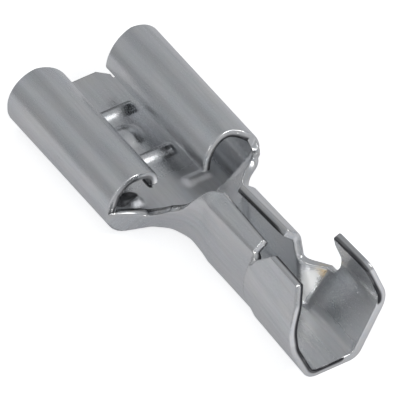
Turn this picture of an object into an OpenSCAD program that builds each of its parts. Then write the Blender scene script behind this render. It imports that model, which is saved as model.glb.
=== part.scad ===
// Female spade terminal folded from one sheet, with a socket between two rolls
// at the front, a wire barrel in the middle and an insulation barrel at the tail.
// It lies on its flat underside; the socket faces -X, the tail faces +X.

/* [Sheet] */
// Thickness of the sheet
sheet_t = 0.4; // [0.3:0.05:0.4]

/* [Tab] */
// Width of the flat tab that the socket takes
tab_w = 6.3; // [6.2:0.05:6.4]
// Thickness of that tab
tab_t = 0.8; // [0.75:0.05:0.85]

/* [Socket] */
// Room beside each edge of the tab, at the widest height of the roll
tab_side_room = 0.25; // [0.2:0.05:0.35]
// How much thinner than the tab the empty slot is, so that it grips
grip = 0.02; // [0:0.01:0.06]
// Height over the rolls
roll_h = 2.86; // [2.8:0.02:3]
// Outer radius of the lower bend of a roll
roll_foot_r = 1.25; // [1.2:0.05:1.3]
// Length of the rolls at their outer sides
roll_l = 7.9; // [7.6:0.05:8.2]
// How much shorter the rolls are over their tops
top_cut = 0.3; // [0.1:0.05:0.5]
// How far the floor stands out in front of the rolls
lip_l = 0.7; // [0.4:0.05:1]
// Width of the floor where it stands out
lip_w = 3; // [2.6:0.1:3.6]
// Corner cut off each side of the lip
lip_chamfer = 0.45; // [0.2:0.05:0.6]
// How far the inner sides of the rolls are cut back at the front, to lead the tab in
front_cut = 0.25; // [0:0.05:0.6]
// How far the inner side of the left roll is cut back at its rear
left_cut = 0.95; // [0.4:0.05:1.1]

/* [Floor marks] */
// Height of the round detent over the floor
detent_h = 0.25; // [0.15:0.05:0.3]
// Diameter of the detent on the floor
detent_d = 1.4; // [1:0.1:1.8]
// Distance of the detent from the front of the rolls
detent_x = 3.4; // [3:0.1:3.8]
// Height of the two ribs across the floor
rib_h = 0.2; // [0.1:0.02:0.24]
// Width of each rib along the terminal
rib_w = 0.9; // [0.7:0.05:1.1]
// Length of the ribs across the terminal
rib_l = 2.1; // [1.4:0.1:2.6]
// Distance of the front rib from the front of the rolls
rib_x1 = 1.9; // [1.6:0.05:2.1]
// Distance of the rear rib from the front of the rolls
rib_x2 = 5; // [4.8:0.05:5.6]

/* [Barrels] */
// Length of the neck from the rolls to the wire barrel
neck_l = 3.8; // [3.6:0.05:4.1]
// Length of the wire barrel
wire_l = 3.35; // [2.8:0.05:3.8]
// Length from the wire barrel to the tail end
tail_l = 4.45; // [4.2:0.05:4.8]
// Half width of the flat under the wire barrel
wire_flat = 0.42; // [0.35:0.01:0.5]
// Outer radius of the bends along the foot of the wire barrel
wire_foot_r = 0.9; // [0.75:0.05:1]
// Height of the wire wings' tips
wire_tip_z = 4.1; // [3.8:0.05:4.3]
// Turn of the sheet from the floor to the walls of the wire barrel, in degrees
wire_wall_a = 93; // [91:1:95]
// Turn of the sheet from the floor to the lips of the wire wings, in degrees
wire_lip_a = 141; // [136:1:146]
// Half width of the flat under the tail
tail_flat = 0.8; // [0.7:0.05:0.9]
// Outer radius of the bends along the foot of the tail
tail_foot_r = 0.7; // [0.6:0.05:0.8]

/* [Wings] */
// Length of the wire wings' lips at the front of the barrel
wire_lip_front = 0.7; // [0.5:0.05:0.8]
// Length of those lips at the rear
wire_lip_rear = 0.52; // [0.4:0.02:0.7]
// Height of the left insulation wing
left_wing_z = 4.75; // [4.4:0.05:5]
// Height of the right insulation wing
right_wing_z = 5; // [4.4:0.05:5.05]
// Start of the left insulation wing behind the wire barrel
left_wing_start = 0.55; // [0.45:0.05:0.9]
// Start of the right insulation wing behind the wire barrel
right_wing_start = 1.7; // [1.5:0.05:1.9]
// Height of the wall that is left in the gap between the right wings
right_gap_z = 2.15; // [1.8:0.05:2.4]
// How far the rear edge of the right wire wing runs back on its way down to that gap
right_gap_run = 0.3; // [0:0.05:0.4]
// How far the bottom of that gap rises towards the wire barrel
right_gap_rise = 0.55; // [0.3:0.05:0.8]
// Height of the wall that is left in the gap between the left wings
left_gap_z = 2.7; // [2.2:0.05:3]
// How far the left wing's top is cut back at the tail
left_tail_cut = 0.9; // [0.4:0.05:1.1]
// How far down the left wing's end that cut reaches
left_tail_drop = 2.4; // [1.8:0.1:2.6]
// How far the front edge of the right wing leans back over its height
right_lean = 0.3; // [0:0.05:0.5]
// Rounding of the right wing's rear corner
right_corner_r = 0.5; // [0.3:0.05:0.7]
// Length in which the left side opens out from the wire barrel to the insulation barrel
left_step_l = 0.45; // [0.35:0.05:0.5]
// Length in which the right side opens out
right_step_l = 0.95; // [0.8:0.05:1.2]

/* [Hidden] */
$fn = 96;
// Facets in each bend of the neck and barrels
bend_n = 8;
// Stations along the neck
neck_n = 18;
// Length by which the trough is rooted in the rolls, and its depth under their skin
root_l = 0.4;
root_skin = 0.03;
// Length in which the trough comes up to the full thickness of the sheet
grow_l = 0.12;
// Stations in which the wire barrel opens out into the tail
step_n = 8;
// Room past the metal for cutting tools
over = 1;

overall_l = lip_l + roll_l + neck_l + wire_l + tail_l;
// Front of the rolls; every distance along the terminal starts there
roll_x = lip_l - overall_l / 2;
neck_x = roll_x + roll_l;
wire_x = neck_x + neck_l;
tail_x = wire_x + wire_l;
end_x = tail_x + tail_l;

socket_w = tab_w + 2 * (tab_side_room + sheet_t);
roll_r = roll_h / 2;
roll_flat = socket_w / 2 - roll_foot_r;
roll_y = socket_w / 2 - roll_r;
flap_z = sheet_t + detent_h + tab_t - grip;
flap_turn = 180 + asin((roll_h - roll_r - flap_z) / roll_r);

// A fold is one side of the folded strip, seen from the front:
// [flat, foot radius, foot angle, wall, upper radius, upper angle, lip].
left_fold_front = [tail_flat - 0.15, tail_foot_r, 70, 1.27, 2.2, 108, 1];
left_fold_rear = [tail_flat, tail_foot_r, 67, 1.27, 2.2, 115, 1];
right_fold_front = [tail_flat - 0.15, tail_foot_r, 62, 2.18, 1.3, 110, 1];
right_fold_rear = [tail_flat, tail_foot_r, 62, 2.18, 1.3, 110, 1];

// Stations of the neck, each as [share of its length, flat, foot radius,
// left foot angle, right foot angle, upper radius, left upper angle, right upper angle,
// lip, left height, right height].
// It starts as the foot of the rolls and ends as the wire barrel; the right side flares
// further out behind its roll than the left.
neck_stations = [
    [0, roll_flat, roll_foot_r, 88, 88, 2, 92, 92, 0.05, 1.4, 1.4],
    [0.05, 2.02, 1.15, 78, 65, 2, 80, 69, 0.05, 1.1, 1.31],
    [0.11, 1.42, 1.1, 70, 42, 2, 72, 46, 0.05, 0.95, 1.3],
    [0.18, 1.08, 1.05, 65, 34, 2, 67, 38, 0.05, 0.9, 1.22],
    [0.28, 0.69, 1, 61, 34, 2, 64, 38, 0.05, 1.36, 1.15],
    [0.45, 0.41, 0.95, 66, 42, 1.5, 70, 46, 0.05, 1.96, 1.29],
    [0.59, 0.29, 0.92, 75, 45, 1.2, 84, 52, 0.1, 2.39, 1.53],
    [0.73, 0.31, 0.9, 84, 61, 0.9, 104, 75, 0.15, 3.2, 2.02],
    [0.87, 0.35, 0.9, 91, 82, 0.6, 128, 110, 0.35, 3.94, 3.09],
    [
        1, wire_flat, wire_foot_r, wire_wall_a, wire_wall_a, 0.5, wire_lip_a, wire_lip_a,
        wire_lip_front, wire_tip_z, wire_tip_z
    ]
];

function mix(a, b, t) = a + (b - a) * t;
function mix_fold(a, b, t) = [for (i = [0:6]) mix(a[i], b[i], t)];
function ease(t) = let (c = min(t, 1)) c * c * (3 - 2 * c);

// Where the lip of a fold starts
function lip_start(f) =
    let (wall_end = [
        f[0] + f[1] * sin(f[2]) + f[3] * cos(f[2]),
        f[1] * (1 - cos(f[2])) + f[3] * sin(f[2])
    ])
    wall_end + f[4] * [sin(f[5]) - sin(f[2]), cos(f[2]) - cos(f[5])];

// The same fold with its wall made long enough for the tip to reach height z
function wall_to(f, z) =
    let (tip_z = lip_start(f)[1] + f[6] * sin(f[5]))
    [f[0], f[1], f[2], f[3] + (z - tip_z) / sin(f[2]), f[4], f[5], f[6]];

// The same fold with its lip made long enough to reach height z
function lip_to(f, z) =
    [f[0], f[1], f[2], f[3], f[4], f[5], (z - lip_start(f)[1]) / sin(f[5])];

// Points along the outside of a fold, each as [y, z, angle of the sheet there]
function fold_path(f) =
    let (
        foot = [for (i = [0:bend_n]) let (a = f[2] * i / bend_n)
            [f[0] + f[1] * sin(a), f[1] * (1 - cos(a)), a]],
        wall = [foot[bend_n][0] + f[3] * cos(f[2]), foot[bend_n][1] + f[3] * sin(f[2])],
        upper = [for (i = [0:bend_n]) let (a = mix(f[2], f[5], i / bend_n))
            [wall[0] + f[4] * (sin(a) - sin(f[2])), wall[1] + f[4] * (cos(f[2]) - cos(a)), a]],
        tip = upper[bend_n]
    )
    concat(foot, upper, [[tip[0] + f[6] * cos(f[5]), tip[1] + f[6] * sin(f[5]), f[5]]]);

// A point of the path moved into the sheet by a depth
function inside(p, depth) = [p[0] - depth * sin(p[2]), p[1] + depth * cos(p[2])];

// One row of points across a station, at a depth into the sheet, from left to right
function station_row(x, left, right, depth) =
    let (l = fold_path(left), r = fold_path(right), n = len(l))
    concat(
        [for (i = [n - 1:-1:0]) let (q = inside(l[i], depth)) [x, -q[0], q[1]]],
        [for (p = r) let (q = inside(p, depth)) [x, q[0], q[1]]]
    );

// Closed outline of one station: along the outside, then back along the inside
function station_ring(x, left, right, skin = 0) =
    let (inner = station_row(x, left, right, sheet_t - skin))
    concat(
        station_row(x, left, right, skin),
        [for (i = [len(inner) - 1:-1:0]) inner[i]]
    );

// Slope of the stations' table at row i
function slope(i) =
    let (
        a = neck_stations[max(i - 1, 0)],
        b = neck_stations[min(i + 1, len(neck_stations) - 1)]
    )
    (b - a) / (b[0] - a[0]);

// The stations' table at share s of the neck's length, smooth through its rows
function neck_row(s) =
    let (
        last = len(neck_stations) - 2,
        i = max([for (k = [0:last]) if (k == 0 || neck_stations[k][0] <= s) k]),
        a = neck_stations[i],
        b = neck_stations[i + 1],
        w = b[0] - a[0],
        t = (s - a[0]) / w
    )
    (2 * t ^ 3 - 3 * t ^ 2 + 1) * a + (3 * t ^ 2 - 2 * t ^ 3) * b
        + w * (t ^ 3 - 2 * t ^ 2 + t) * slope(i) + w * (t ^ 3 - t ^ 2) * slope(i + 1);

// Ring of the neck at distance d behind the rolls
function neck_ring(d, skin = 0) =
    let (r = neck_row(max(d, 0) / neck_l))
    station_ring(
        neck_x + d,
        wall_to([r[1], r[2], r[3], 0, r[5], r[6], r[8]], r[9]),
        wall_to([r[1], r[2], r[4], 0, r[5], r[7], r[8]], r[10]),
        skin
    );

// Rings of the whole trough from the rolls to the tail
neck_rings = concat(
    [neck_ring(-root_l, 2 * root_skin), neck_ring(0, root_skin)],
    [for (i = [0:neck_n]) neck_ring(mix(grow_l, neck_l, (i / neck_n) ^ 1.4))]
);
wire_fold = wall_to(
    [wire_flat, wire_foot_r, wire_wall_a, 0, 0.5, wire_lip_a, wire_lip_rear],
    wire_tip_z
);

// Ring of the tail at distance d behind the wire barrel
function tail_ring(d) =
    let (
        t = d / tail_l,
        left = lip_to(mix_fold(left_fold_front, left_fold_rear, t), left_wing_z),
        right = lip_to(mix_fold(right_fold_front, right_fold_rear, t), right_wing_z)
    )
    station_ring(
        tail_x + d,
        mix_fold(wire_fold, left, ease(d / left_step_l)),
        mix_fold(wire_fold, right, ease(d / right_step_l))
    );

tail_rings = [for (i = [0:step_n]) tail_ring(right_step_l * i / step_n)];
end_rings = [for (i = [1:4]) tail_ring(mix(right_step_l, tail_l, i / 4))];
trough_rings = concat(neck_rings, tail_rings, end_rings);

// Sheet lofted through closed rings of equal length
module loft(rings) {
    n = len(rings[0]);
    half = n / 2;
    last = (len(rings) - 1) * n;
    sides = [for (k = [0:len(rings) - 2], i = [0:n - 1])
        [k * n + i, (k + 1) * n + i, (k + 1) * n + (i + 1) % n, k * n + (i + 1) % n]];
    front = [for (i = [0:half - 2]) [i, i + 1, n - 2 - i, n - 1 - i]];
    rear = [for (i = [0:half - 2]) [last + i + 1, last + i, last + n - 1 - i, last + n - 2 - i]];
    polyhedron(
        points = [for (ring = rings, p = ring) p],
        faces = concat(sides, front, rear),
        convexity = 8
    );
}

// Draws an outline that is given as [y, z] as a bar of length l that starts at x
module along(x, l) {
    translate([x, 0, 0])
        multmatrix([[0, 0, 1, 0], [1, 0, 0, 0], [0, 1, 0, 0]])
            linear_extrude(l)
                children();
}

// Cutting tool that is drawn as [x, z] and reaches from y to y + w
module side_cut(y, w) {
    translate([0, y + w, 0])
        rotate([90, 0, 0])
            linear_extrude(w)
                children();
}

// Ring of the sheet's thickness
module sheet_ring(r) {
    difference() {
        circle(r);
        circle(r - sheet_t);
    }
}

// Outline of one rolled side, from the foot bend over the top to the flap
module roll_outline() {
    roll_z = roll_h - roll_r;
    far = 2 * roll_r;
    intersection() {
        translate([roll_flat, roll_foot_r])
            sheet_ring(roll_foot_r);
        translate([roll_flat - sheet_t, 0])
            square([roll_foot_r + sheet_t, roll_foot_r]);
    }
    translate([socket_w / 2 - sheet_t, roll_foot_r - sheet_t / 4])
        square([sheet_t, roll_z - roll_foot_r + sheet_t / 2]);
    translate([roll_y, roll_z])
        difference() {
            sheet_ring(roll_r);
            polygon([
                [0, 0],
                far * [cos(flap_turn), sin(flap_turn)],
                [-far, -far],
                [far, -far],
                [far, 0]
            ]);
        }
}

// Outline across the socket: floor and both rolls
module socket_outline() {
    translate([-roll_flat, 0])
        square([2 * roll_flat, sheet_t]);
    roll_outline();
    mirror([1, 0])
        roll_outline();
}

// The floor where it stands out in front of the rolls
module lip() {
    linear_extrude(sheet_t)
        polygon([
            [roll_x - lip_l, -lip_w / 2 + lip_chamfer],
            [roll_x - lip_l + lip_chamfer, -lip_w / 2],
            [roll_x + lip_l, -lip_w / 2],
            [roll_x + lip_l, lip_w / 2],
            [roll_x - lip_l + lip_chamfer, lip_w / 2],
            [roll_x - lip_l, lip_w / 2 - lip_chamfer]
        ]);
}

// Round bar lying across the floor, showing h above level z
module rib_bar(x, z, h) {
    r = (rib_w * rib_w / 4 + h * h) / (2 * h);
    translate([roll_x + x, 0, z + h - r])
        rotate([90, 0, 0])
            cylinder(r = r, h = rib_l, center = true);
}

// Ball that shows as a cap of height h above level z
module detent_ball(z, h) {
    r = (detent_d * detent_d / 4 + h * h) / (2 * h);
    translate([roll_x + detent_x, 0, z + h - r])
        sphere(r);
}

// Part of the space between two heights
module slab(z0, z1) {
    intersection() {
        children();
        translate([-overall_l, -socket_w, z0])
            cube([2 * overall_l, 2 * socket_w, z1 - z0]);
    }
}

// Outline with rounded corners through points that are given as [x, z, radius]
function rounded(points) =
    let (n = len(points))
    [for (i = [0:n - 1])
        let (
            p = points[i],
            b = [p[0], p[1]],
            u = toward(b, points[(i + n - 1) % n]),
            v = toward(b, points[(i + 1) % n]),
            half = acos(u * v) / 2,
            centre = b + (u + v) / norm(u + v) * p[2] / sin(half),
            turn = acos(-u * v) * sign(u[0] * v[1] - u[1] * v[0])
        )
        for (k = p[2] == 0 ? [0:0] : [0:bend_n])
            let (a = turn * (0.5 - k / bend_n), w = (u + v) / norm(u + v))
            centre - p[2] * [w[0] * cos(a) - w[1] * sin(a), w[0] * sin(a) + w[1] * cos(a)]
    ];

// Direction from point b to point p
function toward(b, p) = ([p[0], p[1]] - b) / norm([p[0], p[1]] - b);

// What cuts the gaps between the wire wings and the insulation wings
module wing_gaps() {
    right_x = tail_x + right_wing_start;
    left_x = tail_x + left_wing_start;
    side_cut(0, socket_w)
        polygon(rounded([
            [tail_x + right_gap_run, right_gap_z + right_gap_rise, 0.15],
            [right_x - 0.8, right_gap_z, 0.3],
            [right_x, right_gap_z, 0.4],
            [right_x, right_gap_z + 0.9, 0.6],
            [right_x + right_lean, right_wing_z, 0],
            [right_x + right_lean, right_wing_z + over, 0],
            [tail_x, right_wing_z + over, 0],
            [tail_x, wire_tip_z, 0]
        ]));
    side_cut(-socket_w, socket_w)
        polygon(rounded([
            [tail_x, left_gap_z, 0.15],
            [left_x, left_gap_z, 0.2],
            [left_x + 0.2, left_wing_z - 0.75, 0.6],
            [left_x + 1, left_wing_z, 0],
            [left_x + 1, left_wing_z + over, 0],
            [tail_x, left_wing_z + over, 0]
        ]));
}

// What trims the wings at the tail end
module tail_trims() {
    side_cut(-socket_w, socket_w)
        polygon(rounded([
            [end_x - left_tail_cut, left_wing_z, 0],
            [end_x - left_tail_cut / 2, left_wing_z - 0.8, 0.8],
            [end_x, left_wing_z - left_tail_drop, 0],
            [end_x + over, left_wing_z - left_tail_drop, 0],
            [end_x + over, left_wing_z + over, 0],
            [end_x - left_tail_cut, left_wing_z + over, 0]
        ]));
    side_cut(0, socket_w)
        difference() {
            translate([end_x - right_corner_r, right_wing_z - right_corner_r])
                square([right_corner_r + over, right_corner_r + over]);
            translate([end_x - right_corner_r, right_wing_z - right_corner_r])
                circle(right_corner_r);
        }
}

// What cuts back the inner side of a roll at the mouth, from nothing at its top
module mouth_cut() {
    polygon([
        [roll_x, roll_y],
        [roll_x + front_cut, roll_y - roll_r],
        [roll_x + front_cut, 0],
        [roll_x - over, 0],
        [roll_x - over, roll_y]
    ]);
}

// What cuts back the rear of a roll, from nothing at its outer side
module rear_cut(inner) {
    polygon([
        [neck_x, roll_y + roll_r / 2],
        [neck_x - top_cut, roll_y],
        [neck_x - inner, roll_y - roll_r],
        [neck_x - inner, 0],
        [neck_x + over, 0],
        [neck_x + over, roll_y + roll_r / 2]
    ]);
}

// What trims both ends of the rolls, above the floor and its marks
module roll_trims() {
    translate([0, 0, sheet_t + detent_h])
        linear_extrude(roll_h) {
            mouth_cut();
            rear_cut(0);
            mirror([0, 1]) {
                mouth_cut();
                rear_cut(left_cut);
            }
        }
}

module terminal() {
    color([0.72, 0.72, 0.73])
        union() {
            difference() {
                union() {
                    along(roll_x, roll_l)
                        socket_outline();
                    lip();
                }
                roll_trims();
                slab(-over, rib_h) rib_bar(rib_x1, 0, rib_h);
                slab(-over, rib_h) rib_bar(rib_x2, 0, rib_h);
                slab(-over, detent_h) detent_ball(0, detent_h);
            }
            slab(sheet_t / 2, roll_h) rib_bar(rib_x1, sheet_t, rib_h);
            slab(sheet_t / 2, roll_h) rib_bar(rib_x2, sheet_t, rib_h);
            slab(sheet_t / 2, roll_h) detent_ball(sheet_t, detent_h);
            difference() {
                loft(trough_rings);
                wing_gaps();
                tail_trims();
            }
        }
}

terminal();
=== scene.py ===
import math

import bpy
import numpy as np
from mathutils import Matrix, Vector
from mathutils.geometry import delaunay_2d_cdt


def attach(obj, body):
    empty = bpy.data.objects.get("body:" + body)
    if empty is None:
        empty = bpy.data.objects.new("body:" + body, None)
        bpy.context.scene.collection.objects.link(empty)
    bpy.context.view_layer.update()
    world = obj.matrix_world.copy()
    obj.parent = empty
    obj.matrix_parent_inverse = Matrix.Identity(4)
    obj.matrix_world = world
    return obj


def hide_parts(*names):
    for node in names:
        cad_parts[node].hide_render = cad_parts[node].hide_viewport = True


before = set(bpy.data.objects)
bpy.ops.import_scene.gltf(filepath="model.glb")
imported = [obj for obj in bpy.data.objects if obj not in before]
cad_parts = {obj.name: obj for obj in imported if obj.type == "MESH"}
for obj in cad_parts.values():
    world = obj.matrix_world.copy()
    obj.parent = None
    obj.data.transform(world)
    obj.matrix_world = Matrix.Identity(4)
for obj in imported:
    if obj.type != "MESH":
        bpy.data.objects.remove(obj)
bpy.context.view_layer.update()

# Sizes in millimetres, as the terminal's solids have them where no comment says otherwise
MM = 0.001
SHEET = 0.4
ROLL_X, NECK_X, WIRE_X, TAIL_X, END_X = -9.4, -1.5, 2.3, 5.65, 10.1
LIP_L, LIP_W, LIP_CHAMFER = 0.7, 3.0, 0.45
SOCKET_W, ROLL_H, ROLL_FOOT_R = 7.6, 2.86, 1.25
ROLL_R = ROLL_H / 2
ROLL_FLAT = SOCKET_W / 2 - ROLL_FOOT_R
FRONT_CUT = 0.25
# Rear end of each roll, and how far it is cut back at the top and at the inner tip;
# the left one is cut back less than the solid's
ROLL_END = {-1: (-1.49, 0.1, 0.5), 1: (NECK_X, 0.3, 0.0)}
# Ribs across the floor: crest behind the rolls' front, middle, length and height.
# The solid has the two long ones only, shorter and a little lower
RIBS = ((1.9, 0, 2.8, 0.23), (4.95, 0, 2.8, 0.23), (7.05, 1.2, 1.5, 0.12), (6.95, -1.85, 0.9, 0.2))
# Lengths over which a rib rises from the mouth's side, falls behind and fades at its ends
RIB_FRONT, RIB_REAR, RIB_FADE = 0.34, 0.5, 0.3
DETENT_X, DETENT_H, DETENT_D = 3.4, 0.25, 1.4
# Wire barrel: half width of its flat, foot radius and angle, radius and angle of the lips,
# their length in front and how much shorter they are behind
WIRE_FLAT, WIRE_FOOT_R, WIRE_WALL_A, WIRE_TOP_R, WIRE_LIP_A = 0.42, 0.9, 93, 0.5, 141
WIRE_LIP, WIRE_LIP_LOSS = 0.7, 0.18
WIRE_TIP_Z, LEFT_WING_Z, RIGHT_WING_Z = 4.1, 4.75, 5.0
LEFT_START, RIGHT_START = 0.55, 1.7
# How far the right wing's front edge leans back over its height; its tip leans more than the solid's
RIGHT_LEAN, RIGHT_TIP_LEAN = 0.3, 0.1
# Walls left in the gaps between the wings; the left one is higher than the solid's,
# the right one a little lower
LEFT_GAP_Z, RIGHT_GAP_Z = 3.6, 2.05
RIGHT_GAP_RUN, RIGHT_GAP_RISE = 0.3, 0.55
# Start and length of each side's change from the wire barrel into the tail, behind TAIL_X;
# the right one starts later than the solid's
STEPS = {-1: (0, 0.45), 1: (0.28, 0.75)}
LEFT_TAIL_CUT, LEFT_TAIL_DROP, RIGHT_CORNER_R = 0.9, 2.4, 0.5

# Rounding of the cut edges, distances from the cut of the rows of points, and spacing of the others
EDGE_R = 0.07
EDGE_ROWS = (0.012, 0.035, EDGE_R, 0.11)
EDGE_CLEAR, EDGE_GAP = 0.15, 0.08
LATTICE_X, LATTICE_S = 0.125, 0.095
RIB_LATTICE_X, RIB_LATTICE_S = 0.04, 0.08
NECK_STATIONS, HEIGHT_STEPS, ARC_POINTS = 240, 400, 8
# How far from a place the slope of the folds is taken, and the steepest one that counts
LEAN_STEP, LEAN_MAX = 0.02, 0.9
# Points whose distances are worked out at once
BATCH = 2000

# Darker fields of the surroundings: azimuth, elevation, half width in degrees, depth
DARK_FIELDS = ((-130, 8, 26, 0.3), (172, 52, 26, 0.22), (157, 8, 22, 0.85))
STUDIO_GREY = (0.375, 0.384, 0.397)

# Painted shade inside, dark patches beside the left roll's tip and beneath its rear:
# place along x, half length, place across, half width and firmness
TIP_SHADE_PATCH, UNDER_ROLL_SHADE_PATCH = (-3.14, 0.5, -0.76, 0.17, 2), (-2.8, 0.5, -2.1, 0.8, 2.4)
# Colours of the brass wear, the painted shade and the painted highlight
BRASS, PAINTED_SHADE_COLOUR, PAINTED_HIGHLIGHT_COLOUR = (0.90, 0.72, 0.45, 1), (0.05, 0.05, 0.055, 1), (0.95, 0.95, 0.93, 1)

# A fold is one side of the folded strip:
# flat, foot radius, foot angle, wall, upper radius, upper angle, lip
ROLL_FOLD = [ROLL_FLAT, ROLL_FOOT_R, 90, ROLL_R - ROLL_FOOT_R, ROLL_R, 270, 0]
WIRE_FOLD = [WIRE_FLAT, WIRE_FOOT_R, WIRE_WALL_A, 0, WIRE_TOP_R, WIRE_LIP_A, WIRE_LIP]
TAIL_FOLDS = {
    -1: ([0.65, 0.7, 70, 1.27, 2.2, 108, 0], [0.8, 0.7, 67, 1.27, 2.2, 115, 0]),
    1: ([0.65, 0.7, 62, 2.18, 1.3, 110, 0], [0.8, 0.7, 62, 2.18, 1.3, 110, 0]),
}
# Share of the neck, flat, foot radius, left and right foot angle, upper radius,
# left and right upper angle, lip, left and right height.
# Against the solid, rows 2 to 4 have a left rim 0.2 mm higher and a flatter right side
NECK = [
    [0, ROLL_FLAT, ROLL_FOOT_R, 90, 90, 2, 92, 92, 0.05, 1.4, 1.4],
    [0.05, 2.02, 1.15, 78, 50, 2, 80, 53, 0.05, 1.3, 1.36],
    [0.11, 1.42, 1.1, 70, 38, 2, 72, 41, 0.05, 1.15, 1.32],
    [0.18, 1.08, 1.05, 65, 33, 2, 67, 36, 0.05, 1.1, 1.23],
    [0.28, 0.69, 1, 61, 34, 2, 64, 38, 0.05, 1.36, 1.15],
    [0.45, 0.41, 0.95, 66, 42, 1.5, 70, 46, 0.05, 1.96, 1.29],
    [0.59, 0.29, 0.92, 75, 45, 1.2, 84, 52, 0.1, 2.39, 1.53],
    [0.73, 0.31, 0.9, 84, 61, 0.9, 104, 75, 0.15, 3.2, 2.02],
    [0.87, 0.35, 0.9, 91, 82, 0.6, 128, 110, 0.35, 3.94, 3.09],
    [1, WIRE_FLAT, WIRE_FOOT_R, WIRE_WALL_A, WIRE_WALL_A, WIRE_TOP_R,
     WIRE_LIP_A, WIRE_LIP_A, WIRE_LIP, WIRE_TIP_Z, WIRE_TIP_Z],
]
# Share of the neck that a roll with a late end shortens
LATE_SHARE = 0.2


def smooth(t):
    """Eased step of t from 0 to 1: 3 t squared less 2 t cubed."""
    t = np.clip(t, 0, 1)
    return t * t * (3 - 2 * t)


def along_table(table, s):
    """Rows of a table at shares s of its first column, on a cubic curve
    whose slope at a row is that of the line through its neighbours."""
    table = np.array(table, float)
    k, n = table[:, 0], len(table)
    before, after = np.maximum(np.arange(n) - 1, 0), np.minimum(np.arange(n) + 1, n - 1)
    slope = (table[after] - table[before]) / (k[after] - k[before])[:, None]
    i = np.clip(np.searchsorted(k, s, side="right") - 1, 0, n - 2)
    w = (k[i + 1] - k[i])[:, None]
    t = (np.asarray(s)[:, None] - k[i][:, None]) / w
    return (
        (2 * t**3 - 3 * t**2 + 1) * table[i]
        + (3 * t**2 - 2 * t**3) * table[i + 1]
        + w * (t**3 - 2 * t**2 + t) * slope[i]
        + w * (t**3 - t**2) * slope[i + 1]
    )


def reach(fold, z, part):
    """The folds with their wall (part 3) or lip (part 6) made so long that the tip is at height z."""
    fold = np.array(fold, float)
    fold[:, part] = 0
    turn = np.radians(fold[:, 2 if part == 3 else 5])
    fold[:, part] = (z - walk(fold, length(fold))[1]) / np.sin(turn)
    return fold


def walk(fold, s):
    """Outside of a folded side at distance s from the middle: y, z and the turn of the sheet.
    Flat, arc, straight wall, arc and straight lip follow one another without a kink,
    and s never runs past the lip."""
    flat, r1, a1, wall, r2, a2, lip = np.asarray(fold, float).T
    a1, a2 = np.radians(a1), np.radians(a2)
    foot = np.clip(s - flat, 0, r1 * a1) / r1
    left = s - flat - r1 * a1
    up = np.clip(left, 0, wall)
    bend = np.clip(left - wall, 0, r2 * (a2 - a1)) / r2
    rest = np.clip(left - wall - r2 * (a2 - a1), 0, lip)
    y = np.minimum(s, flat) + r1 * np.sin(foot) + up * np.cos(a1)
    y = y + r2 * (np.sin(a1 + bend) - np.sin(a1)) + rest * np.cos(a2)
    z = r1 * (1 - np.cos(foot)) + up * np.sin(a1)
    z = z + r2 * (np.cos(a1) - np.cos(a1 + bend)) + rest * np.sin(a2)
    return y, z, foot + bend


def length(fold):
    """Length of a folded side from the middle to its tip."""
    flat, r1, a1, wall, r2, a2, lip = np.asarray(fold, float).T
    return flat + r1 * np.radians(a1) + wall + r2 * np.radians(a2 - a1) + lip


def neck_share(side, x):
    """Share of the neck at places x: a roll that ends behind the neck's start
    shortens the neck's first fifth."""
    share = (x - NECK_X) / (WIRE_X - NECK_X)
    late = (ROLL_END[side][0] - NECK_X) / (WIRE_X - NECK_X)
    shortened = (share - late) * LATE_SHARE / (LATE_SHARE - late)
    return np.clip(np.where(share < LATE_SHARE, shortened, share), 0, 1)


def fold_at(side, x):
    """Fold of one side at places x along the terminal:
    the roll, the neck's table, the wire barrel, and its eased change into the tail."""
    x = np.atleast_1d(np.asarray(x, float))
    row = along_table(NECK, neck_share(side, x))
    foot_angle, upper_angle, height = (3, 6, 9) if side < 0 else (4, 7, 10)
    neck = np.stack([row[:, 1], row[:, 2], row[:, foot_angle], row[:, 1] * 0,
                     row[:, 5], row[:, upper_angle], row[:, 8]], 1)
    out = reach(neck, row[:, height], 3)
    barrel = np.clip((x - WIRE_X) / (TAIL_X - WIRE_X), 0, 1)
    wire = np.tile(np.array(WIRE_FOLD), (len(x), 1))
    wire[:, 6] = WIRE_LIP - WIRE_LIP_LOSS * barrel
    wire = reach(wire, WIRE_TIP_Z, 3)
    front, rear = (np.array(f) for f in TAIL_FOLDS[side])
    share = np.clip((x - TAIL_X) / (END_X - TAIL_X), 0, 1)[:, None]
    tail = reach(front + (rear - front) * share, LEFT_WING_Z if side < 0 else RIGHT_WING_Z, 6)
    step = smooth((x - TAIL_X - STEPS[side][0]) / STEPS[side][1])[:, None]
    out = np.where((x > WIRE_X)[:, None], wire, out)
    out = np.where((x > TAIL_X)[:, None], wire + (tail - wire) * step, out)
    return np.where((x <= ROLL_END[side][0] + 1e-6)[:, None], np.array(ROLL_FOLD, float), out)


def distance_at(side, x, z):
    """Distance along the outside at which a side first reaches height z."""
    fold = fold_at(side, x)
    s = np.linspace(0, 1, HEIGHT_STEPS)
    out = []
    for f, zz, total in zip(fold, np.atleast_1d(z), length(fold)):
        heights = walk(np.tile(f, (len(s), 1)), s * total)[1]
        top = heights.argmax() + 1
        out.append(np.interp(zz, heights[:top], s[:top] * total))
    return np.array(out)


def rounded(points):
    """Open line through points [x, z, radius] whose inner corners are arcs, tangent to both neighbours."""
    out = [points[0][:2]]
    for a, b, c in zip(points, points[1:], points[2:]):
        p, q = np.array(b[:2], float), b[2]
        u = np.array(a[:2]) - p
        v = np.array(c[:2]) - p
        u, v = u / np.linalg.norm(u), v / np.linalg.norm(v)
        half = math.acos(float(u @ v)) / 2
        w = (u + v) / np.linalg.norm(u + v)
        sweep = (math.pi - 2 * half) * np.sign(u[0] * v[1] - u[1] * v[0])
        for t in np.linspace(0.5, -0.5, ARC_POINTS):
            co, si = math.cos(sweep * t), math.sin(sweep * t)
            turned = np.array([w[0] * co - w[1] * si, w[0] * si + w[1] * co])
            out.append(p + w * q / math.sin(half) - q * turned)
    return np.array(out + [points[-1][:2]], float)


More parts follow.
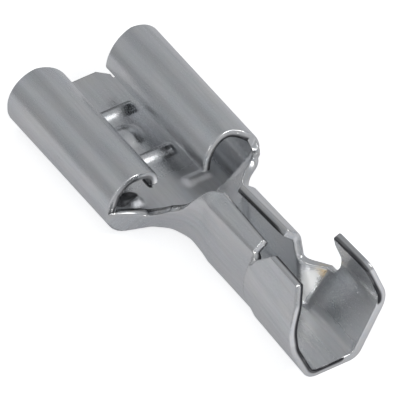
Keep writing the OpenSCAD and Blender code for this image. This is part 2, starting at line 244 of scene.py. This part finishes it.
def spread(line, gap):
    """The same line with its points no further apart than gap."""
    out = [line[:1]]
    for a, b in zip(line[:-1], line[1:]):
        n = max(1, math.ceil(np.linalg.norm(b - a) / gap))
        out.append(a + (b - a) * np.linspace(0, 1, n + 1)[1:, None])
    return np.vstack(out)


def wing_outline(side):
    """Outline of one side's gap and insulation wing as [x, z], from the wire wing's rear to the tail's end:
    straight lines whose corners are arcs."""
    if side < 0:
        x = TAIL_X + LEFT_START
        gap = rounded([
            [TAIL_X, WIRE_TIP_Z, 0], [TAIL_X, LEFT_GAP_Z, 0.15], [x, LEFT_GAP_Z, 0.2],
            [x + 0.2, LEFT_WING_Z - 0.75, 0.6], [x + 1, LEFT_WING_Z, 0],
        ])
        end = rounded([
            [END_X - LEFT_TAIL_CUT, LEFT_WING_Z, 0],
            [END_X - LEFT_TAIL_CUT / 2, LEFT_WING_Z - 0.8, 0.8],
            [END_X, LEFT_WING_Z - LEFT_TAIL_DROP, 0],
        ])
    else:
        x = TAIL_X + RIGHT_START
        gap = rounded([
            [TAIL_X, WIRE_TIP_Z, 0], [TAIL_X + RIGHT_GAP_RUN, RIGHT_GAP_Z + RIGHT_GAP_RISE, 0.15],
            [x - 0.8, RIGHT_GAP_Z, 0.3], [x, RIGHT_GAP_Z, 0.4], [x, RIGHT_GAP_Z + 0.9, 0.6],
            [x + 0.12, RIGHT_WING_Z - 0.7, 0.5], [x + RIGHT_LEAN + RIGHT_TIP_LEAN, RIGHT_WING_Z, 0],
        ])
        end = rounded([
            [END_X - 1, RIGHT_WING_Z, 0], [END_X, RIGHT_WING_Z, RIGHT_CORNER_R], [END_X, RIGHT_WING_Z - 1, 0],
        ])
    return spread(np.vstack([gap[1:], end]), EDGE_GAP)


def side_edge(side):
    """Edge of one side of the blank as [x, s], s being the distance from the middle line:
    lip, mouth of the roll, inner edge, rear of the roll, neck, wire wing, gap, insulation wing and tail."""
    half_lip = LIP_W / 2
    total = float(length(np.array([ROLL_FOLD]))[0])
    top = total - ROLL_R * math.pi / 2
    curl = np.linspace(0, 1, 12)
    outer = np.linspace(0, 1, 10)[1:]
    start, top_cut, tip_cut = ROLL_END[side]
    head = [
        [ROLL_X - LIP_L, 0], [ROLL_X - LIP_L, half_lip - LIP_CHAMFER],
        [ROLL_X - LIP_L + LIP_CHAMFER, half_lip], [ROLL_X, half_lip],
    ]
    mouth = np.stack([ROLL_X + FRONT_CUT * np.sin(curl * math.pi / 2), top + (total - top) * curl], 1)
    rear = np.stack([
        start - np.r_[top_cut + (tip_cut - top_cut) * smooth(curl[::-1]), top_cut * (1 - smooth(outer))],
        np.r_[top + (total - top) * curl[::-1], top - ROLL_R * math.pi / 4 * outer],
    ], 1)
    xs = np.linspace(start + 1e-5, TAIL_X, NECK_STATIONS)
    neck = np.stack([xs, length(fold_at(side, xs))], 1)
    wings = wing_outline(side)
    wings = np.stack([wings[:, 0], distance_at(side, wings[:, 0] + 1e-6, wings[:, 1])], 1)
    line = np.vstack([head, mouth, rear, neck, wings, [[END_X, 0]]])
    keep = np.r_[True, np.linalg.norm(np.diff(line, axis=0), axis=1) > 1e-4]
    return spread(line[keep], EDGE_GAP)


def gap_to(line, points):
    """Shortest distance from each point to a closed line."""
    a, b = line, np.roll(line, -1, axis=0)
    d = b - a
    out = np.empty(len(points))
    for start in range(0, len(points), BATCH):
        p = points[start:start + BATCH, None]
        t = np.clip(((p - a) * d).sum(2) / (d * d).sum(1), 0, 1)
        out[start:start + BATCH] = np.linalg.norm(a + t[..., None] * d - p, axis=2).min(1)
    return out


def within(line, points):
    """True for the points inside a closed line, by the count of its crossings."""
    a, b = line, np.roll(line, -1, axis=0)
    out = np.zeros(len(points), bool)
    for (ax, ay), (bx, by) in zip(a, b):
        if ay == by:
            continue
        hit = (ay > points[:, 1]) != (by > points[:, 1])
        out ^= hit & (points[:, 0] < (bx - ax) * (points[:, 1] - ay) / (by - ay) + ax)
    return out


def marks(x, y):
    """Height of the floor marks, all pressed up from below:
    ribs that are steeper towards the mouth, two of them short, and a round detent,
    whose height falls with the square of the distance from its middle."""
    h = np.zeros(len(x))
    for at, middle, long, high in RIBS:
        run = x - ROLL_X - at
        bar = smooth(1 - np.where(run < 0, -run / RIB_FRONT, run / RIB_REAR))
        h = np.maximum(h, high * bar * smooth((long / 2 - np.abs(y - middle)) / RIB_FADE))
    far = np.hypot(x - ROLL_X - DETENT_X, y) / (DETENT_D / 2)
    return np.maximum(h, DETENT_H * np.clip(1 - far**2, 0, 1))


def place(blank, depth):
    """Points of the blank [x, s], set back by depth from the outside: the side's fold at x is walked by s,
    and the depth goes along the sheet's normal, which leans along x where the fold changes,
    by the slope between the folds just before and behind. It doesn't lean in the rolls or at the end."""
    x, s = blank.T
    y, z, turn, lean = (np.zeros(len(x)) for _ in range(4))
    for side in (-1, 1):
        mine = s * side >= 0
        far = np.abs(s[mine])
        y[mine], z[mine], turn[mine] = walk(fold_at(side, x[mine]), far)
        y0, z0, _ = walk(fold_at(side, x[mine] - LEAN_STEP), far)
        y1, z1, _ = walk(fold_at(side, x[mine] + LEAN_STEP), far)
        lean[mine] = (np.sin(turn[mine]) * (y1 - y0) - np.cos(turn[mine]) * (z1 - z0)) / (2 * LEAN_STEP)
        lean[mine] *= smooth((x[mine] - ROLL_END[side][0] - 0.03) / 0.15)
        y[mine] *= side
    lean = np.clip(lean, -LEAN_MAX, LEAN_MAX) * smooth((END_X - x) / 0.3)
    depth = depth / np.sqrt(1 + lean**2)
    side = np.where(s < 0, -1, 1)
    out = np.stack([x + depth * lean, y - depth * np.sin(turn) * side, z + depth * np.cos(turn)], 1)
    out[:, 2] += np.where(turn < 0.02, marks(x, y), 0)
    return out


def wear_and_painted_light(blank, near):
    """Wear and painted light on both skins of the sheet as [painted shade, painted highlight, brass,
    scuffed], from 0 to 1; the outside has none.
    Each sign is a product of eased steps of x and s, or falls from the middle of an ellipse.
    The painted shade is a dark line along the cut, 0.09 mm wide and fainter at the tail's right corner, at
    the flare and on the neck's right side, and the patches beside the left roll's tip and beneath its rear,
    all standing for shade.
    The painted highlight is a pale patch on the flare behind the right wire wing. Brass is the flare's rear,
    a gold fringe painted beside that highlight, and the left wire wing's front corner; scuffed are the neck's
    floor and the tail's right bend."""
    x, s = blank.T
    behind = x - TAIL_X

    def patch(x0, half_x, s0, half_s, firm):
        return smooth(firm * (1 - np.hypot((x - x0) / half_x, (s - s0) / half_s)))

    end = smooth((x - END_X + 0.3) / 0.2) * smooth((s - 0.4) / 0.3)
    faint_end = end * np.where(s < 1.4, 1, 0.75 * (1 - smooth((s - 3.7) / 0.5)))
    faint_neck = 0.7 * smooth(s / 0.5) * (x > NECK_X) * smooth((WIRE_X - 0.6 - x) / 0.3)
    faint_flare = 0.85 * smooth(s / 0.5) * smooth(1.5 - np.abs(behind - 0.8))
    faint = np.maximum(np.maximum(faint_end, faint_neck), faint_flare)
    # Painted shade: a dark line along the inner border of the cuts, fainter in some places
    edge_shade = (1 - smooth(near / 0.09)) * (1 - faint)
    # Painted shade patches beside the left roll's tip and beneath its rear join the line
    painted_shade = np.maximum(edge_shade, np.maximum(patch(*TIP_SHADE_PATCH), patch(*UNDER_ROLL_SHADE_PATCH)))

    across = smooth((s - 0.8) / 0.5) * smooth((3.35 - s) / 0.5)
    # Painted highlight: a pale patch on the flare behind the right wire wing, where a glint stands
    painted_highlight = across * smooth((behind - 0.3) / 0.15) * (1 - smooth((behind - 0.68) / 0.15))

    # Brass at the flare's rear is a painted gold fringe of that highlight; the corner is brass at the left
    # wire wing's cut
    rear = smooth(1.5 - 1.5 * np.abs(behind - 0.88) / 0.3) * smooth(1.5 - 1.5 * np.abs(s - 2.9) / 0.9)
    corner = np.hypot(x - WIRE_X - 0.25, s + length(fold_at(-1, x)) - 0.1) / 0.35
    brass = np.maximum(smooth(s / 0.8) * rear, np.clip(1 - corner, 0, 1))

    floor = smooth((x + 3.4) / 1.2) * smooth((1.2 - x) / 1.2) * smooth((2.6 - np.abs(s)) / 0.8)
    bend = smooth((behind - 1.2) / 0.5) * smooth(1.6 * (1 - np.abs(s - 1) / 0.9)) * (1 - end)
    inside = np.stack([painted_shade, painted_highlight, brass, np.maximum(floor, bend)], 1)
    return np.vstack([0 * inside, inside])


def blank_points(line, widest):
    """Points of the blank: its edge, rows that follow it inwards, a lattice whose every second row
    is half a step on, and a finer lattice over each rib."""
    way = np.roll(line, -1, axis=0) - np.roll(line, 1, axis=0)
    way = way / np.linalg.norm(way, axis=1)[:, None]
    inward = np.stack([-way[:, 1], way[:, 0]], 1)
    if not within(line, line[40:41] + inward[40:41] * 0.02)[0]:
        inward = -inward
    points = [line]
    for d in EDGE_ROWS:
        row = line + inward * d
        points.append(row[(np.abs(gap_to(line, row) - d) < 0.15 * d) & within(line, row)])
    gx, gs = np.meshgrid(np.arange(ROLL_X - LIP_L, END_X, LATTICE_X), np.arange(-widest, widest, LATTICE_S))
    gx = gx + LATTICE_X / 2 * (np.arange(len(gx)) % 2)[:, None]
    lattice = np.stack([gx.ravel(), gs.ravel()], 1)
    for at, middle, long, _ in RIBS:
        fx, fs = np.meshgrid(
            ROLL_X + at + np.arange(-0.38, 0.54, RIB_LATTICE_X),
            middle + np.arange(-long / 2 - 0.05, long / 2 + 0.05, RIB_LATTICE_S),
        )
        clear_x = np.abs(lattice[:, 0] - fx.mean()) > 0.49
        clear_s = np.abs(lattice[:, 1] - middle) > long / 2 + 0.1
        lattice = np.vstack([lattice[clear_x | clear_s], np.stack([fx.ravel(), fs.ravel()], 1)])
    lattice = lattice[within(line, lattice)]
    points.append(lattice[gap_to(line, lattice) > EDGE_CLEAR])
    return np.vstack(points)


def filled(line, points):
    """The blank's points and the triangles of their Delaunay triangulation within its edge,
    all turned one way."""
    n = len(line)
    edges = [(i, (i + 1) % n) for i in range(n)]
    flat, _, tris, _, _, _ = delaunay_2d_cdt([Vector(p) for p in points], edges, [], 1, 1e-7)
    flat = np.array([tuple(p) for p in flat])
    tris = np.array([tuple(t) for t in tris])
    a, b, c = (flat[tris[:, k]] for k in range(3))
    area = (b[:, 0] - a[:, 0]) * (c[:, 1] - a[:, 1]) - (b[:, 1] - a[:, 1]) * (c[:, 0] - a[:, 0])
    keep = within(line, flat[tris].mean(1)) & (np.abs(area) > 1e-9)
    tris, area = tris[keep], area[keep]
    tris[area < 0] = tris[area < 0][:, ::-1]
    return flat, tris


def rim_of(tris):
    """Edges that only one triangle has, in its own direction."""
    pairs = tris[:, [0, 1, 1, 2, 2, 0]].reshape(-1, 2)
    ends = dict.fromkeys(tuple(p) for p in pairs.tolist())
    return [(p, q) for p, q in ends if (q, p) not in ends]


def folded_sheet():
    """Mesh of the whole terminal: the flat blank [x, s] is triangulated and folded up twice,
    as the outside and as the inside, and a strip of faces closes the cut between them.
    Near the edge each skin steps back on a quarter circle, so that the cut edges are rounded."""
    left, right = side_edge(-1), side_edge(1)
    line = np.vstack([right, (left * [1, -1])[::-1][1:-1]])
    flat, tris = filled(line, blank_points(line, max(right[:, 1].max(), left[:, 1].max())))
    gap = gap_to(line, flat)
    near = np.clip(gap, 0, EDGE_R)
    back = EDGE_R - np.sqrt(EDGE_R**2 - (EDGE_R - near) ** 2)
    skins = np.vstack([place(flat, back), place(flat, SHEET - back)])
    count = len(flat)
    faces = [tuple(t) for t in tris[:, ::-1]]
    faces += [tuple(t + count) for t in tris]
    faces += [(p, q, q + count, p + count) for p, q in rim_of(tris)]
    mesh = bpy.data.meshes.new("terminal_sheet")
    mesh.from_pydata((skins * MM).tolist(), [], faces)
    mesh.update()
    blank = mesh.attributes.new("blank", "FLOAT_VECTOR", "POINT")
    skin = np.r_[np.zeros(count), np.ones(count)]
    blank.data.foreach_set("vector", np.column_stack([np.vstack([flat, flat]), skin]).ravel())
    edge = mesh.attributes.new("cut_edge", "FLOAT", "POINT")
    edge.data.foreach_set("value", np.tile(1 - smooth(near / EDGE_R), 2))
    worn_and_painted = mesh.attributes.new("wear_and_painted_light", "FLOAT_COLOR", "POINT")
    worn_and_painted.data.foreach_set("color", wear_and_painted_light(flat, gap).ravel())
    mesh.shade_smooth()
    mesh.validate()
    return mesh


def tin_plate():
    """Tin-plated sheet: cool grey metal whose tone drifts in soft clouds, with streaks and fine scratches
    along the rolling direction, duller grain, paler cut edges, and the wear, painted shade and painted
    highlight that the mesh carries.
    Where the painted highlight is, the surface is pale and only a quarter metal."""
    mat = bpy.data.materials.new("tin_plate")
    mat.use_nodes = True
    nt = mat.node_tree
    bsdf = nt.nodes["Principled BSDF"]

    def node(kind, **values):
        n = nt.nodes.new(kind)
        for k, v in values.items():
            setattr(n, k, v)
        return n

    def noise(stretch, detail, rough):
        scaled = node("ShaderNodeMapping")
        scaled.inputs["Scale"].default_value = stretch
        nt.links.new(blank.outputs["Vector"], scaled.inputs["Vector"])
        n = node("ShaderNodeTexNoise")
        n.inputs["Scale"].default_value = 1.0
        n.inputs["Detail"].default_value = detail
        n.inputs["Roughness"].default_value = rough
        nt.links.new(scaled.outputs["Vector"], n.inputs["Vector"])
        return n.outputs

    def ramp(fac, stops):
        r = node("ShaderNodeValToRGB")
        while len(r.color_ramp.elements) < len(stops):
            r.color_ramp.elements.new(0.5)
        for e, (pos, col) in zip(r.color_ramp.elements, stops):
            e.position = pos
            e.color = (col, col, col, 1) if isinstance(col, float) else (*col, 1)
        nt.links.new(fac, r.inputs["Fac"])
        return r.outputs["Color"]

    def mix(kind, fac, a, b):
        m = node("ShaderNodeMix", data_type="RGBA", blend_type=kind)
        for socket, value in ((m.inputs[0], fac), (m.inputs[6], a), (m.inputs[7], b)):
            if hasattr(value, "links"):
                nt.links.new(value, socket)
            else:
                socket.default_value = value
        return m.outputs[2]

    blank = node("ShaderNodeAttribute", attribute_name="blank")
    cut = node("ShaderNodeAttribute", attribute_name="cut_edge").outputs["Fac"]
    signs = node("ShaderNodeAttribute", attribute_name="wear_and_painted_light").outputs
    worn_and_painted = node("ShaderNodeSeparateXYZ")
    nt.links.new(signs["Vector"], worn_and_painted.inputs[0])
    painted_shade, painted_highlight, brass = worn_and_painted.outputs
    scuffed = signs["Alpha"]
    clouds = noise((0.35, 0.6, 3.0), 4, 0.55)["Fac"]
    streaks = noise((0.22, 5.0, 3.0), 5, 0.6)["Fac"]
    hairs = noise((1.2, 42.0, 3.0), 4, 0.65)["Fac"]
    grain = noise((14.0, 14.0, 3.0), 3, 0.6)["Fac"]
    mottle = noise((1.3, 2.4, 3.0), 5, 0.65)

    cool, middling, warm = (0.84, 0.865, 0.89), (0.90, 0.905, 0.915), (0.94, 0.93, 0.915)
    tone = ramp(clouds, [(0.3, cool), (0.55, middling), (0.75, warm)])
    tone = mix("SOFT_LIGHT", 0.35, tone, mottle["Color"])
    tone = mix("MULTIPLY", 0.45, tone, ramp(streaks, [(0.3, 0.78), (0.6, 1.0)]))
    tone = mix("MULTIPLY", 0.25, tone, ramp(hairs, [(0.35, 0.75), (0.6, 1.0)]))
    cut_tone = ramp(mottle["Fac"], [(0.35, (0.74, 0.76, 0.79)), (0.65, (0.82, 0.81, 0.79))])
    tone = mix("MIX", cut, tone, cut_tone)
    brass = mix("MULTIPLY", 1.0, brass, ramp(mottle["Fac"], [(0.45, 0.1), (0.6, 0.9)]))
    # Brass tint, at the flare a painted gold fringe beside the painted highlight
    tone = mix("MIX", brass, tone, BRASS)
    # Painted highlight: the flare's patch turns pale
    tone = mix("MIX", painted_highlight, tone, PAINTED_HIGHLIGHT_COLOUR)
    # Painted shade: the dark line and patches turn the colour near black
    painted_shade_amount = ramp(painted_shade, [(0.4, 0.0), (0.75, 1.0)])
    painted_shade_amount = mix("MULTIPLY", 0.7, painted_shade_amount, ramp(clouds, [(0.4, 0.55), (0.55, 1.0)]))
    tone = mix("MIX", painted_shade_amount, tone, PAINTED_SHADE_COLOUR)
    nt.links.new(tone, bsdf.inputs["Base Color"])

    rough = ramp(clouds, [(0.3, 0.28), (0.75, 0.19)])
    rough = mix("MIX", 0.45, rough, ramp(hairs, [(0.3, 0.32), (0.7, 0.18)]))
    rough = mix("MIX", 0.3, rough, ramp(grain, [(0.3, 0.34), (0.7, 0.18)]))
    for sign, dullness in ((cut, 0.22), (painted_highlight, 0.3), (scuffed, 0.45)):
        rough = mix("MIX", sign, rough, (dullness, dullness, dullness, 1))
    nt.links.new(rough, bsdf.inputs["Roughness"])
    # The painted highlight's patch is only a quarter metal, so the flare lamp brightens it
    nt.links.new(ramp(painted_highlight, [(0.0, 1.0), (1.0, 0.25)]), bsdf.inputs["Metallic"])

    height = mix("MIX", 0.5, ramp(hairs, [(0.3, 0.0), (0.7, 1.0)]), ramp(grain, [(0.2, 0.0), (0.8, 1.0)]))
    height = mix("MIX", 0.4, height, ramp(streaks, [(0.2, 0.0), (0.8, 1.0)]))
    bump = node("ShaderNodeBump")
    bump.inputs["Strength"].default_value = 0.12
    bump.inputs["Distance"].default_value = 0.00003
    nt.links.new(height, bump.inputs["Height"])
    nt.links.new(bump.outputs["Normal"], bsdf.inputs["Normal"])
    return mat


def by_ray(nt, path, seen, mirrored):
    """Colour that the camera sees directly, and another colour or socket for what the metal mirrors."""
    pick = nt.nodes.new("ShaderNodeMix")
    pick.data_type = "RGBA"
    nt.links.new(path.outputs["Is Camera Ray"], pick.inputs[0])
    if hasattr(mirrored, "links"):
        nt.links.new(mirrored, pick.inputs[6])
    else:
        pick.inputs[6].default_value = (*mirrored, 1)
    pick.inputs[7].default_value = (*seen, 1)
    return pick.outputs[2]


def floor_material():
    """Pale matt floor: white to the camera apart from the object's soft shadow,
    and in what the metal mirrors a mid grey that glows more behind the tail."""
    mat = bpy.data.materials.new("pale_floor")
    mat.use_nodes = True
    nt = mat.node_tree
    bsdf = nt.nodes["Principled BSDF"]
    bsdf.inputs["Roughness"].default_value = 0.9
    bsdf.inputs["Specular IOR Level"].default_value = 0.0
    path = nt.nodes.new("ShaderNodeLightPath")
    nt.links.new(by_ray(nt, path, (0.9, 0.9, 0.9), (0.42, 0.42, 0.42)), bsdf.inputs["Base Color"])
    nt.links.new(by_ray(nt, path, (0.62, 0.62, 0.62), (0.20, 0.20, 0.21)), bsdf.inputs["Emission Color"])
    at = nt.nodes.new("ShaderNodeTexCoord")
    along = nt.nodes.new("ShaderNodeSeparateXYZ")
    nt.links.new(at.outputs["Object"], along.inputs[0])
    behind = nt.nodes.new("ShaderNodeMapRange")
    behind.inputs["From Min"].default_value = 0.009
    behind.inputs["From Max"].default_value = 0.014
    behind.inputs["To Min"].default_value = 1.0
    behind.inputs["To Max"].default_value = 2.2
    nt.links.new(along.outputs["X"], behind.inputs["Value"])
    nt.links.new(behind.outputs["Result"], bsdf.inputs["Emission Strength"])
    return mat


def studio():
    """Surroundings: white to the camera, and to the metal an even grey with darker fields,
    each a smooth step of the cosine of the angle from its middle."""
    world = bpy.data.worlds.new("studio")
    world.use_nodes = True
    nt = world.node_tree
    path = nt.nodes.new("ShaderNodeLightPath")
    at = nt.nodes.new("ShaderNodeTexCoord")
    tone = None
    for azimuth, elevation, width, depth in DARK_FIELDS:
        a, e = math.radians(azimuth), math.radians(elevation)
        near = nt.nodes.new("ShaderNodeVectorMath")
        near.operation = "DOT_PRODUCT"
        nt.links.new(at.outputs["Generated"], near.inputs[0])
        near.inputs[1].default_value = (math.cos(a) * math.cos(e), math.sin(a) * math.cos(e), math.sin(e))
        field = nt.nodes.new("ShaderNodeMapRange")
        field.interpolation_type = "SMOOTHSTEP"
        nt.links.new(near.outputs["Value"], field.inputs["Value"])
        field.inputs["From Min"].default_value = math.cos(math.radians(width))
        field.inputs["From Max"].default_value = 1.0
        field.inputs["To Min"].default_value = 1.0
        field.inputs["To Max"].default_value = 1.0 - depth
        if tone is None:
            tone = field.outputs["Result"]
        else:
            both = nt.nodes.new("ShaderNodeMath")
            both.operation = "MULTIPLY"
            nt.links.new(tone, both.inputs[0])
            nt.links.new(field.outputs["Result"], both.inputs[1])
            tone = both.outputs["Value"]
    shade = nt.nodes.new("ShaderNodeMix")
    shade.data_type = "RGBA"
    shade.blend_type = "MULTIPLY"
    shade.inputs[0].default_value = 1.0
    shade.inputs[6].default_value = (*STUDIO_GREY, 1)
    nt.links.new(tone, shade.inputs[7])
    nt.links.new(by_ray(nt, path, (1, 1, 1), shade.outputs[2]), nt.nodes["Background"].inputs["Color"])
    return world


def panel(name, at, side_length, power, mirrored=True):
    """Square lamp at a place in millimetres that faces the middle of the terminal,
    hidden from the camera and, if not mirrored, from the metal."""
    data = bpy.data.lights.new(name, "AREA")
    data.shape = "RECTANGLE"
    data.size = data.size_y = side_length * MM
    data.energy = power
    lamp = bpy.data.objects.new(name, data)
    bpy.context.scene.collection.objects.link(lamp)
    lamp.location = Vector(at) * MM
    lamp.rotation_mode = "QUATERNION"
    lamp.rotation_quaternion = (Vector((0, 0, 0.002)) - lamp.location).to_track_quat("-Z", "Y")
    lamp.visible_camera = False
    lamp.visible_glossy = mirrored
    return lamp


terminal = bpy.data.objects.new("terminal_sheet", folded_sheet())
bpy.context.scene.collection.objects.link(terminal)
terminal.data.materials.append(tin_plate())
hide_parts("terminal")
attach(terminal, "root")

floor_mesh = bpy.data.meshes.new("floor")
floor_mesh.from_pydata([(-4, -4, -2e-5), (4, -4, -2e-5), (4, 4, -2e-5), (-4, 4, -2e-5)], [], [(0, 1, 2, 3)])
floor = bpy.data.objects.new("floor", floor_mesh)
bpy.context.scene.collection.objects.link(floor)
floor.data.materials.append(floor_material())

bpy.context.scene.world = studio()
panel("top_lamp", (-70, -30, 160), 160, 0.03, mirrored=False)
panel("rear_glint", (92, 72, 130), 60, 0.03)
panel("tail_glint", (114, 83, 103), 30, 0.04)
panel("front_glint", (65, -103, 114), 30, 0.02)
# Lights the terminal alone, where only the painted highlight on the flare takes it up, and leaves the floor
# as it is
flare_light = panel("flare_light", (90, -60, 110), 50, 0.18, mirrored=False)
lit = bpy.data.collections.new("flare_lit")
lit.objects.link(terminal)
flare_light.light_linking.receiver_collection = lit

# Camera: direction, place in millimetres and roll fitted to the photograph, long lens
AZIMUTH, ELEVATION = math.radians(32.414), math.radians(43.655)
DISTANCE, FIELD, SENSOR = 780.0, 16.745, 36
MIDDLE, SHIFT_RIGHT, SHIFT_UP = (-1.4, 0, 1.2), 0.629, -0.560
flat_back = Vector((math.cos(AZIMUTH), -math.sin(AZIMUTH), 0))
back = flat_back * math.cos(ELEVATION) + Vector((0, 0, math.sin(ELEVATION)))
right = Vector((math.sin(AZIMUTH), math.cos(AZIMUTH), 0))
up = back.cross(right)
target = Vector(MIDDLE) + right * SHIFT_RIGHT + up * SHIFT_UP
camera = bpy.data.objects.new("camera", bpy.data.cameras.new("camera"))
bpy.context.scene.collection.objects.link(camera)
camera.data.sensor_width = SENSOR
camera.data.lens = SENSOR * DISTANCE / FIELD
camera.data.clip_start, camera.data.clip_end = 0.01, 20
camera.location = (target + back * DISTANCE) * MM
camera.rotation_mode = "QUATERNION"
camera.rotation_quaternion = back.to_track_quat("Z", "Y")
bpy.context.scene.camera = camera
bpy.context.scene.view_settings.view_transform = "Standard"
